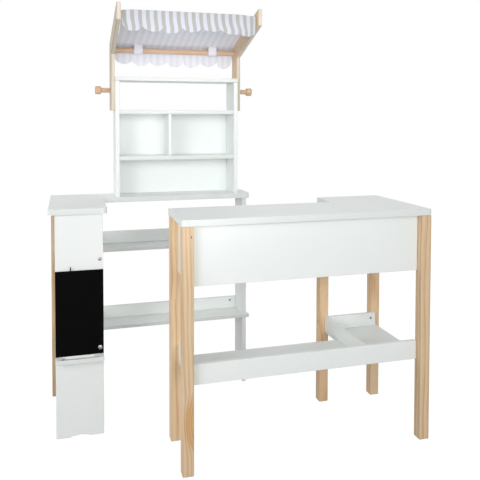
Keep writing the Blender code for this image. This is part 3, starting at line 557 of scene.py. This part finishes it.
# The sunk heads' colour is painted shade: dark, as in their recesses
recess_shaded_zinc = steel_material("zinc_plating_with_painted_recess_shade", "#4C4D50", 0.35, 0.5)
domed = ["screw_panel", "screw_chalkboard"]
sunk = [name for name in slots if name.startswith("screw_") and name not in domed]
for piece_name, names, shares, coat in (("screws_domed", domed, DOMED_HEAD, bright_zinc),
                                        ("screws_sunk", sunk, SUNK_HEAD, recess_shaded_zinc)):
    rims, ways, radii = [], [], []
    for name in names:
        low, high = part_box(name)
        axis = 1 if name in LOOKS_FORWARD else 0
        radius = (high.z - low.z) / 2
        rim = (low + high) / 2
        rim[axis] = high[axis] - shares["Thickness"] * radius if name in domed else low[axis]
        rims.append(rim)
        ways += [-1.0 if at == axis else 0.0 for at in range(3)]
        radii.append(radius)
    guide = bpy.data.meshes.new(piece_name)
    guide.from_pydata(rims, [], [])
    guide.attributes.new("facing", "FLOAT_VECTOR", "POINT").data.foreach_set("vector", ways)
    guide.attributes.new("head_radius", "FLOAT", "POINT").data.foreach_set("value", radii)
    heads = grow(screw_tree, piece_name, guide, shares, coat)
    heads.data.shade_smooth()
    heads.data.set_sharp_from_angle(angle=SHARP_EDGE)
    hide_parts(*names)


# Hook
# A small bent hook of blackened steel wire just above the chalkboard. Its blacking is a thin, dull
# coat that lets the metal shine through a little.

dress("stand_hook", steel_material("blackened_steel", "#242424", 0.4, 0.55))


# Awning cloth
# One length of light cotton, printed with grey-green stripes on its face. It is creased where it
# turns down in front and behind, and each end is cut in seven scallops. The back shows the stripes
# faintly, and has a lining ahead of a seam, where the back is painted a shade darker as painted
# shade.

SCALLOPS = 7
SCALLOP_COLUMNS = 20
CLOTH_THICKNESS = 0.0008
SIDE_CLEARANCE = 0.0017
CREASE_AHEAD = 0.0093
CREASE_BEHIND = 0.0101
FRONT_CREASE_UP = 0.0136
REAR_CREASE_UP = 0.0130
CREASE_RADIUS = 0.0033
SLOPE_SAG = 0.0030
END_DROOP = 0.0029
# The left and right shares of the width over which the front crease droops
DROOP_REACH = (0.12, 0.20)
DRAWN_IN = 0.0062
# How far below the dowel's axis the hems' cusps and tips hang, and how far the hems lean sideways
FRONT_CUSP_MM = (28, 28, 33, 28, 27, 31, 38, 38)
FRONT_TIP_MM = (44.8, 44.6, 48.0, 42.8, 38.5, 44.4, 47.9)
FRONT_SWAY_MM = (5.5, 3.2, 3.2, 4.6, 3.9, 6.3, 8.0, -2.0)
REAR_CUSP_MM = (20, 23, 24, 25, 25, 22, 23, 18)
REAR_TIP_MM = (39.2, 44.3, 42.5, 45.6, 46.1, 41.8, 47.1)
REAR_SWAY_MM = (1.0, 0, 0, 0, 0, 0, 0, -3.0)
# How far below its crease a valance hangs freely
FREE_BELOW = 0.04
# Depths of the folds, bulges and waves, and how many folds lie across the cloth
FRONT_FOLD, FRONT_FOLDS = 0.0011, 15
FRONT_BULGE, FRONT_BELLY = 0.0009, 0.0014
SLOPE_WAVE, SLOPE_WAVES = 0.0011, 7
REAR_FOLD, REAR_FOLDS = 0.0022, 14
REAR_BULGE, REAR_BELLY = 0.0006, 0.0015
# Parts of the cloth from the front hem to the rear one, and the rows of faces in each
ZONES = (("front_valance", 16), ("front_turn", 8), ("slope", 36), ("rear_turn", 8),
         ("rear_valance", 16))
# The cloth's far side is read from its last step
LAST_PLACE = 0.999999
STRIPE_PERIOD_MM = 20.6
STRIPE_FROM_SIDE_MM = 2.5
# The seam's place on the slope
SEAM_SHARE = 0.56
SOILING_MM = 45
# Real threads are 0.4 mm apart. They are drawn at twice that to show.
THREAD_MM = 0.8
WEAVE_DEPTH_MM = 0.15
# How long one wave of a wave texture is at scale 1
BAND_LENGTH = 2 * pi / 20

front_low, front_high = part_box("awning_dowel_front")
rear_low, rear_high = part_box("awning_dowel_rear")
front_dowel = Vector(((front_low.y + front_high.y) / 2, (front_low.z + front_high.z) / 2))
rear_dowel = Vector(((rear_low.y + rear_high.y) / 2, (rear_low.z + rear_high.z) / 2))
dowel_radius = (front_high.z - front_low.z) / 2
cloth_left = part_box("awning_arm_left")[1].x + SIDE_CLEARANCE
cloth_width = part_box("awning_arm_right")[0].x - SIDE_CLEARANCE - cloth_left
# The creases and what turns at them, as places (y, z) across the dowels
front_crease = front_dowel + Vector((-CREASE_AHEAD, FRONT_CREASE_UP))
rear_crease = rear_dowel + Vector((CREASE_BEHIND, REAR_CREASE_UP))
slope = (rear_crease - front_crease).normalized()
slope_angle = atan(-slope.y / slope.x)
front_trim = CREASE_RADIUS * tan((pi / 2 + slope_angle) / 2)
rear_trim = CREASE_RADIUS * tan((pi / 2 - slope_angle) / 2)
front_turn = CREASE_RADIUS * (pi / 2 + slope_angle)
rear_turn = CREASE_RADIUS * (pi / 2 - slope_angle)
slope_start = front_crease + slope * front_trim
slope_end = rear_crease - slope * rear_trim
slope_length = (slope_end - slope_start).length


def between(values, across):
    """A value at a place from 0 to 1 across the cloth, eased between values listed by cusp."""
    along = min(max(across, 0.0), LAST_PLACE) * (len(values) - 1)
    step = int(along)
    share = along - step
    ease = share * share * (3 - 2 * share)
    return values[step] * (1 - ease) + values[step + 1] * ease


def hem_drop(across, cusps, tips):
    """How far the scalloped edge hangs below the dowel's axis, in metres."""
    along = min(max(across, 0.0), LAST_PLACE) * SCALLOPS
    step = int(along)
    share = along - step
    base = cusps[step] * (1 - share) + cusps[step + 1] * share
    depth = tips[step] - (cusps[step] + cusps[step + 1]) / 2
    return (base + depth * sqrt(max(0.0, 1 - (2 * share - 1) ** 2))) / 1000


def droop(across):
    """How much lower the front crease lies towards the two sides."""
    left = max(0.0, 1 - across / DROOP_REACH[0]) ** 2
    right = max(0.0, 1 - (1 - across) / DROOP_REACH[1]) ** 2
    return END_DROOP * max(left, right)


def cloth_point(across, zone, share):
    """A point of the cloth's inner face, and the cloth's length from the front crease to it."""
    x = cloth_left + cloth_width * across
    belly = sin(pi * ((across * SCALLOPS) % 1.0))
    if zone == "front_valance":
        top = front_crease.y - front_trim - droop(across)
        hem = front_dowel.y - hem_drop(across, FRONT_CUSP_MM, FRONT_TIP_MM)
        z = hem + (top - hem) * share
        hang = min(1.0, (top - z) / FREE_BELOW)
        x += between(FRONT_SWAY_MM, across) / 1000 * hang ** 2.4
        fold = FRONT_FOLD * noise.noise(Vector((across * FRONT_FOLDS, 0.3, hang * 0.5))) * hang
        bulge = FRONT_BULGE * min(1.0, hang * 4) + FRONT_BELLY * belly * hang ** 2
        return Vector((x, front_crease.x - bulge + fold, z)), z - top
    if zone == "front_turn":
        angle = pi - (pi / 2 + slope_angle) * share
        y = front_crease.x + CREASE_RADIUS * (1 + cos(angle))
        z = front_crease.y - front_trim + CREASE_RADIUS * sin(angle) - droop(across)
        return Vector((x, y, z)), share * front_turn
    if zone == "slope":
        place = slope_start.lerp(slope_end, share)
        sag = SLOPE_SAG * 4 * share * (1 - share) + droop(across) * (1 - share) ** 3
        ripple = noise.noise(Vector((across * SLOPE_WAVES, share * 2.5, 4.1))) * sin(pi * share)
        x += DRAWN_IN * (1 - 2 * across) * sin(pi * share)
        z = place.y - sag + SLOPE_WAVE * ripple
        return Vector((x, place.x, z)), front_turn + share * slope_length
    if zone == "rear_turn":
        angle = (pi / 2 - slope_angle) * (1 - share)
        y = rear_crease.x - CREASE_RADIUS * (1 - cos(angle))
        z = rear_crease.y - rear_trim + CREASE_RADIUS * sin(angle)
        return Vector((x, y, z)), front_turn + slope_length + share * rear_turn
    top = rear_crease.y - rear_trim
    hem = rear_dowel.y - hem_drop(across, REAR_CUSP_MM, REAR_TIP_MM)
    z = top + (hem - top) * share
    hang = min(1.0, (top - z) / FREE_BELOW)
    x += between(REAR_SWAY_MM, across) / 1000 * hang
    fold = REAR_FOLD * noise.noise(Vector((across * REAR_FOLDS, 7.7, hang * 0.4))) * hang
    bulge = REAR_BULGE + REAR_BELLY * belly * hang
    place = Vector((x, rear_crease.x + (bulge + fold) * hang, z))
    return place, front_turn + slope_length + rear_turn + top - z


cloth_rows = []
for zone, steps in ZONES:
    first = 0 if zone == "front_valance" else 1
    cloth_rows += [(zone, step / steps) for step in range(first, steps + 1)]
columns = SCALLOPS * SCALLOP_COLUMNS
shape = bmesh.new()
cut_map = shape.loops.layers.uv.new("cut")
grid = []
for zone, share in cloth_rows:
    row = []
    for column in range(columns + 1):
        place, length = cloth_point(column / columns, zone, share)
        row.append((shape.verts.new(place), (column / columns * cloth_width, length)))
    grid.append(row)
for lower, upper in zip(grid, grid[1:]):
    for at in range(columns):
        corners = (lower[at], lower[at + 1], upper[at + 1], upper[at])
        face = shape.faces.new([corner[0] for corner in corners])
        face.smooth = True
        for loop, corner in zip(face.loops, corners):
            loop[cut_map].uv = corner[1]
        flat = [Vector((*corner[1], 0)) for corner in corners]
cloth_mesh = bpy.data.meshes.new("awning_cotton")
shape.to_mesh(cloth_mesh)
shape.free()


def cotton_material(name, stripe, ground, lined_shade=None):
    """Plain-woven cotton with printed stripes. The part of the back with a lining can get painted
    shade, a shade darker, where the doubled cloth lets less light through.
    """
    material, tree = start_material(name)
    cut = add_node(tree, "ShaderNodeUVMap", {"uv_map": "cut"}).outputs["UV"]
    sides = add_node(tree, "ShaderNodeSeparateXYZ", {"Vector": cut})
    print_start = add_node(tree, "ShaderNodeMath", {
        "operation": "SUBTRACT", 0: sides.outputs["X"], 1: STRIPE_FROM_SIDE_MM / 1000})
    count = add_node(tree, "ShaderNodeMath", {
        "operation": "DIVIDE", 0: print_start.outputs[0], 1: STRIPE_PERIOD_MM / 1000})
    part = add_node(tree, "ShaderNodeMath", {"operation": "FRACT", 0: count.outputs[0]})
    stripes = add_node(tree, "ShaderNodeValToRGB", {"Fac": part.outputs[0]})
    stops = stripes.color_ramp.elements
    stops[0].position, stops[0].color = 0.0, linear(ground)
    stops[1].position, stops[1].color = 1.0, linear(ground)
    for at, colour in ((0.02, stripe), (0.49, stripe), (0.51, ground)):
        stops.new(at).color = linear(colour)
    soiling = add_node(tree, "ShaderNodeTexNoise", {
        "Vector": cut, "Scale": 1000 / SOILING_MM, "Detail": 3.0})
    wash = add_node(tree, "ShaderNodeMapRange", {
        "Value": soiling.outputs["Fac"], "To Min": 0.96, "To Max": 1.03})
    colour = add_node(tree, "ShaderNodeVectorMath", {
        "operation": "SCALE", 0: stripes.outputs["Color"], "Scale": wash.outputs[0]}).outputs[0]
    # Painted shade: ahead of the seam, where the cloth is doubled, the back is multiplied darker
    if lined_shade:
        ahead = add_node(tree, "ShaderNodeMath", {
            "operation": "LESS_THAN", 0: sides.outputs["Y"],
            1: front_turn + slope_length * SEAM_SHARE})
        colour = add_node(tree, "ShaderNodeMix", {
            "data_type": "RGBA", "blend_type": "MULTIPLY", SHARE: ahead.outputs[0], FIRST: colour,
            SECOND: linear(lined_shade)}).outputs[BLEND]
    warp, weft = [add_node(tree, "ShaderNodeTexWave", {
        "bands_direction": axis, "Vector": cut, "Scale": BAND_LENGTH * 1000 / THREAD_MM,
        "Distortion": 0.6}) for axis in "XY"]
    weave = add_node(tree, "ShaderNodeMath", {
        "operation": "MULTIPLY", 0: warp.outputs["Fac"], 1: weft.outputs["Fac"]})
    relief = add_node(tree, "ShaderNodeBump", {
        "Height": weave.outputs[0], "Strength": 0.3, "Distance": WEAVE_DEPTH_MM / 1000})
    surface = add_node(tree, "ShaderNodeBsdfPrincipled", {
        "Base Color": colour, "Roughness": 0.9, "Specular IOR Level": 0.2, "Sheen Weight": 0.15,
        "Subsurface Weight": 0.7, "Subsurface Radius": (1, 1, 1), "Subsurface Scale": 0.0025,
        "Normal": relief.outputs[0]})
    add_node(tree, "ShaderNodeOutputMaterial", {"Surface": surface.outputs[0]})
    return material


cotton_face = cotton_material("printed_cotton_face", "#B9BCB9", "#DDDDEB")
# The back's last colour is the painted shade of the part with a lining
cotton_back = cotton_material("printed_cotton_back", "#E1E4F1", "#EBEDFA", "#FCFCFF")
awning = bpy.data.objects.new("awning_cotton", cloth_mesh)
bpy.context.scene.collection.objects.link(awning)
cloth_mesh.materials.append(cotton_face)
cloth_mesh.materials.append(cotton_back)
layers = awning.modifiers.new("thickness", "SOLIDIFY")
layers.thickness = CLOTH_THICKNESS
layers.offset = 1
layers.material_offset = 1
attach(awning, "root")
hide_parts("awning_cloth")


# Awning loops
# Loops of white cotton tape, sewn under the cloth at both ends. They hang a little slack round the
# dowels. The tape is thicker than the cloth, with ribs along it.

TAPE_THICKNESS = 0.0009
TAPE_CLEARANCE = 0.0002
TAPE_COLUMNS = 8
TAPE_WHITE = "#EDEBF4"
RIB_MM = 1.2
RIB_DEPTH_MM = 0.1
LOOP_SLACK = 0.0015
# The end that is sewn flat under the cloth
SEWN_END = 0.006
TURN_STEPS = 32
RISE_STEPS = 6
cotton_tape, tree = start_material("cotton_tape")
place = add_node(tree, "ShaderNodeTexCoord", {}).outputs["Object"]
rib = add_node(tree, "ShaderNodeTexWave", {
    "bands_direction": "X", "Vector": place, "Scale": BAND_LENGTH * 1000 / RIB_MM})
relief = add_node(tree, "ShaderNodeBump", {
    "Height": rib.outputs["Fac"], "Strength": 0.3, "Distance": RIB_DEPTH_MM / 1000})
surface = add_node(tree, "ShaderNodeBsdfPrincipled", {
    "Base Color": linear(TAPE_WHITE), "Roughness": 0.9, "Specular IOR Level": 0.2,
    "Sheen Weight": 0.15, "Normal": relief.outputs[0]})
add_node(tree, "ShaderNodeOutputMaterial", {"Surface": surface.outputs[0]})


def under_cloth(y, across):
    """The height of the tape's middle where it lies under the slope, at a place front to back."""
    share = (y - slope_start.x) / (slope_end.x - slope_start.x)
    inner_face = cloth_point(across, "slope", min(max(share, 0.0), 1.0))[0].z
    return inner_face - TAPE_THICKNESS / 2 - TAPE_CLEARANCE


for name in [name for name, slot in slots.items() if slot == "webbing"]:
    low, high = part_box(name)
    across = ((low.x + high.x) / 2 - cloth_left) / cloth_width
    axis = rear_dowel if "rear" in name else front_dowel
    ring = dowel_radius + TAPE_CLEARANCE + TAPE_THICKNESS / 2
    route = []
    for step in range(TURN_STEPS + 1):
        angle = pi + pi * step / TURN_STEPS
        route.append((axis.x + ring * cos(angle), axis.y + (ring + LOOP_SLACK) * sin(angle)))
    for side in (-1, 1):
        beside = axis.x + ring * side
        y = min(max(beside, slope_start.x), slope_end.x)
        top = under_cloth(y, across)
        rise = [(beside + (y - beside) * step / RISE_STEPS,
                 axis.y + (top - axis.y) * step / RISE_STEPS) for step in range(1, RISE_STEPS + 1)]
        inner = y - side * SEWN_END
        rise.append((inner, under_cloth(inner, across)))
        route = route + rise if side == 1 else rise[::-1] + route
    shape = bmesh.new()
    rows = [[shape.verts.new((low.x + (high.x - low.x) * at / TAPE_COLUMNS, y, z))
             for at in range(TAPE_COLUMNS + 1)] for y, z in route]
    for lower, upper in zip(rows, rows[1:]):
        for at in range(TAPE_COLUMNS):
            face = shape.faces.new((lower[at], lower[at + 1], upper[at + 1], upper[at]))
            face.smooth = True
    mesh = bpy.data.meshes.new("tape_" + name)
    shape.to_mesh(mesh)
    shape.free()
    mesh.materials.append(cotton_tape)
    loop = bpy.data.objects.new("tape_" + name, mesh)
    bpy.context.scene.collection.objects.link(loop)
    layer = loop.modifiers.new("thickness", "SOLIDIFY")
    layer.thickness = TAPE_THICKNESS
    layer.offset = 0
    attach(loop, "root")
    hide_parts(name)


# Stitches
# Rows of white thread along both scalloped hems, the two sides and the seam. Each stitch shows on
# both sides of the cloth.

STITCH_MM = {"Pitch": 3.2, "Length": 2.4, "Width": 0.45}
HEM_MM = 4.0
THREAD_WHITE = "#E6E5EA"
TWIST_MM = 0.5
TWIST_DEPTH_MM = 0.05
# How long one diagonal wave of a wave texture is at scale 1
DIAGONAL_LENGTH = 2 * pi / 10 / sqrt(3)
# Places across the cloth: the rows beside its two sides, and the ends of the rows between them
SIDE_ROWS = (0.011, 0.989)
ROW_START, ROW_END = 0.01, 0.99
ROW_STEPS = 280
SIDE_STEPS = 60
thread, tree = start_material("cotton_thread")
place = add_node(tree, "ShaderNodeTexCoord", {}).outputs["Object"]
twist = add_node(tree, "ShaderNodeTexWave", {
    "bands_direction": "DIAGONAL", "Vector": place, "Scale": DIAGONAL_LENGTH * 1000 / TWIST_MM})
relief = add_node(tree, "ShaderNodeBump", {
    "Height": twist.outputs["Fac"], "Strength": 0.3, "Distance": TWIST_DEPTH_MM / 1000})
surface = add_node(tree, "ShaderNodeBsdfPrincipled", {
    "Base Color": linear(THREAD_WHITE), "Roughness": 0.8, "Normal": relief.outputs[0]})
add_node(tree, "ShaderNodeOutputMaterial", {"Surface": surface.outputs[0]})

stitch_tree, given = new_tree("stitch_rows", STITCH_MM)
path = add_node(stitch_tree, "GeometryNodeMeshToCurve", {"Mesh": given["Geometry"]})
spaced = add_node(stitch_tree, "GeometryNodeResampleCurve", {
    "mode": "LENGTH", "Curve": path.outputs[0], "Length": given["Pitch"]})
along = add_node(stitch_tree, "GeometryNodeInputTangent", {})
laid = add_node(stitch_tree, "FunctionNodeAlignRotationToVector", {
    "axis": "X", "Vector": along.outputs[0]})
bead = add_node(stitch_tree, "GeometryNodeMeshUVSphere", {
    "Segments": 6, "Rings": 4, "Radius": 0.5})
stretch = add_node(stitch_tree, "ShaderNodeCombineXYZ", {
    "X": given["Length"], "Y": given["Width"], "Z": given["Width"]})
stitches = add_node(stitch_tree, "GeometryNodeInstanceOnPoints", {
    "Points": spaced.outputs[0], "Instance": bead.outputs["Mesh"], "Rotation": laid.outputs[0],
    "Scale": stretch.outputs[0]})
real = add_node(stitch_tree, "GeometryNodeRealizeInstances", {
    "Geometry": stitches.outputs["Instances"]})
sewn = add_node(stitch_tree, "GeometryNodeSetMaterial", {
    "Geometry": real.outputs[0], "Material": given["Material"]})
add_node(stitch_tree, "NodeGroupOutput", {"Geometry": sewn.outputs[0]})


def on_cloth(across, zone, share, side):
    """A place on the outer (1) or inner (-1) face of the cloth."""
    step = 0.002
    here = cloth_point(across, zone, share)[0]
    beside = (cloth_point(min(across + step, 1.0), zone, share)[0]
              - cloth_point(max(across - step, 0.0), zone, share)[0])
    onward = (cloth_point(across, zone, min(share + step, 1.0))[0]
              - cloth_point(across, zone, max(share - step, 0.0))[0])
    outward = beside.cross(onward).normalized()
    return here + outward * (CLOTH_THICKNESS if side > 0 else 0.0)


def hem_share(across, cusps, tips):
    """The share of a valance's height that its hem takes."""
    return HEM_MM / 1000 / (hem_drop(across, cusps, tips) + FRONT_CREASE_UP)


steps = [ROW_START + (ROW_END - ROW_START) * at / ROW_STEPS for at in range(ROW_STEPS + 1)]
rows = [[(across, "front_valance", hem_share(across, FRONT_CUSP_MM, FRONT_TIP_MM))
         for across in steps],
        [(across, "rear_valance", 1 - hem_share(across, REAR_CUSP_MM, REAR_TIP_MM))
         for across in steps],
        [(across, "slope", SEAM_SHARE) for across in steps]]
for across in SIDE_ROWS:
    for zone, first, last in (("front_valance", 0.12, 0.95), ("slope", 0.02, 0.98),
                              ("rear_valance", 0.05, 0.88)):
        rows.append([(across, zone, first + (last - first) * at / SIDE_STEPS)
                     for at in range(SIDE_STEPS + 1)])
guide = bpy.data.meshes.new("stitch_rows")
points, links = [], []
for row in rows:
    for side in (1, -1):
        start = len(points)
        points += [on_cloth(*place, side) for place in row]
        links += [(at, at + 1) for at in range(start, len(points) - 1)]
guide.from_pydata(points, links, [])
stitching = grow(stitch_tree, "awning_stitches", guide,
                 {name: value / 1000 for name, value in STITCH_MM.items()}, thread)
stitching.data.shade_smooth()


# Floor, light and background
# A white studio: even light from all round, soft lamps near the set, strongest in front and to the
# left, and a small lamp each for the hutch and the awning. The white floor keeps a faint shadow.

AMBIENT = 0.48
FLOOR_HALF = 8.0
FLOOR_PAINT = "#A6A6A6"
FLOOR_SHADOW = (0.1, 0.1, 0.1, 1)
FLOOR_GLOW = 0.97
WHITE_LIGHT = (1, 1, 1, 1)
SET_MIDDLE = Vector((0, 0.05, 0.75))
HUTCH_MIDDLE = Vector((-0.03, 0.2, 0.85))
AWNING_MIDDLE = Vector((-0.1, 0.1, 1.05))
# Name, place, aim, width in metres, beam in degrees, and watts
LAMPS = (("left_lamp", (-2.75, 0.48, 0.94), SET_MIDDLE, 1.4, 180, 9.8),
         ("near_left_lamp", (-2.0, -0.9, 1.0), SET_MIDDLE, 0.8, 180, 1.7),
         ("key_lamp", (-1.5, -1.6, 1.1), SET_MIDDLE, 1.0, 180, 12.8),
         ("front_lamp", (0.48, -2.75, 0.94), SET_MIDDLE, 1.4, 180, 19.0),
         ("right_lamp", (2.42, 0, 2.1), SET_MIDDLE, 1.4, 180, 3.4),
         ("back_lamp", (0.99, 1.71, 2.68), SET_MIDDLE, 1.4, 180, 5.8),
         ("top_lamp", (-0.8, -0.3, 3.0), SET_MIDDLE, 1.2, 180, 2.6),
         ("hutch_lamp", (-0.3, -2.3, 1.35), HUTCH_MIDDLE, 0.8, 35, 0.47),
         ("awning_lamp", (-0.35, -1.3, 0.15), AWNING_MIDDLE, 0.3, 24, 0.145))


def lens_sees(tree):
    """A socket that is 1 where the camera, a reflection or a transmitted ray sees the surface."""
    path = add_node(tree, "ShaderNodeLightPath", {})
    seen = path.outputs["Is Camera Ray"]
    for ray in ("Is Glossy Ray", "Is Transmission Ray"):
        seen = add_node(tree, "ShaderNodeMath", {
            "operation": "MAXIMUM", 0: seen, 1: path.outputs[ray]}).outputs[0]
    return seen


floor_paint, tree = start_material("white_floor")
plain = add_node(tree, "ShaderNodeBsdfDiffuse", {"Color": linear(FLOOR_PAINT)})
shade = add_node(tree, "ShaderNodeBsdfDiffuse", {"Color": FLOOR_SHADOW})
glow = add_node(tree, "ShaderNodeEmission", {"Color": WHITE_LIGHT, "Strength": FLOOR_GLOW})
shown = add_node(tree, "ShaderNodeAddShader", {0: shade.outputs[0], 1: glow.outputs[0]})
surface = add_node(tree, "ShaderNodeMixShader", {
    0: lens_sees(tree), 1: plain.outputs[0], 2: shown.outputs[0]})
add_node(tree, "ShaderNodeOutputMaterial", {"Surface": surface.outputs[0]})
floor_mesh = bpy.data.meshes.new("floor")
floor_mesh.from_pydata([(x * FLOOR_HALF, y * FLOOR_HALF, 0)
                        for x, y in ((-1, -1), (1, -1), (1, 1), (-1, 1))], [], [(0, 1, 2, 3)])
floor_mesh.materials.append(floor_paint)
floor = bpy.data.objects.new("floor", floor_mesh)
bpy.context.scene.collection.objects.link(floor)

world = bpy.data.worlds.new("studio")
bpy.context.scene.world = world
world.use_nodes = True
tree = world.node_tree
tree.nodes.clear()
strength = add_node(tree, "ShaderNodeMapRange", {
    "Value": lens_sees(tree), "To Min": AMBIENT, "To Max": 1.0})
sky = add_node(tree, "ShaderNodeBackground", {
    "Color": WHITE_LIGHT, "Strength": strength.outputs[0]})
add_node(tree, "ShaderNodeOutputWorld", {"Surface": sky.outputs[0]})

for name, place, aim, width, beam, watts in LAMPS:
    lamp = bpy.data.lights.new(name, "AREA")
    lamp.shape = "DISK"
    lamp.size = width
    lamp.spread = radians(beam)
    lamp.energy = watts
    stand = bpy.data.objects.new(name, lamp)
    bpy.context.scene.collection.objects.link(stand)
    stand.location = place
    stand.rotation_euler = (aim - stand.location).to_track_quat("-Z", "Y").to_euler()

bpy.context.scene.view_settings.view_transform = "Standard"
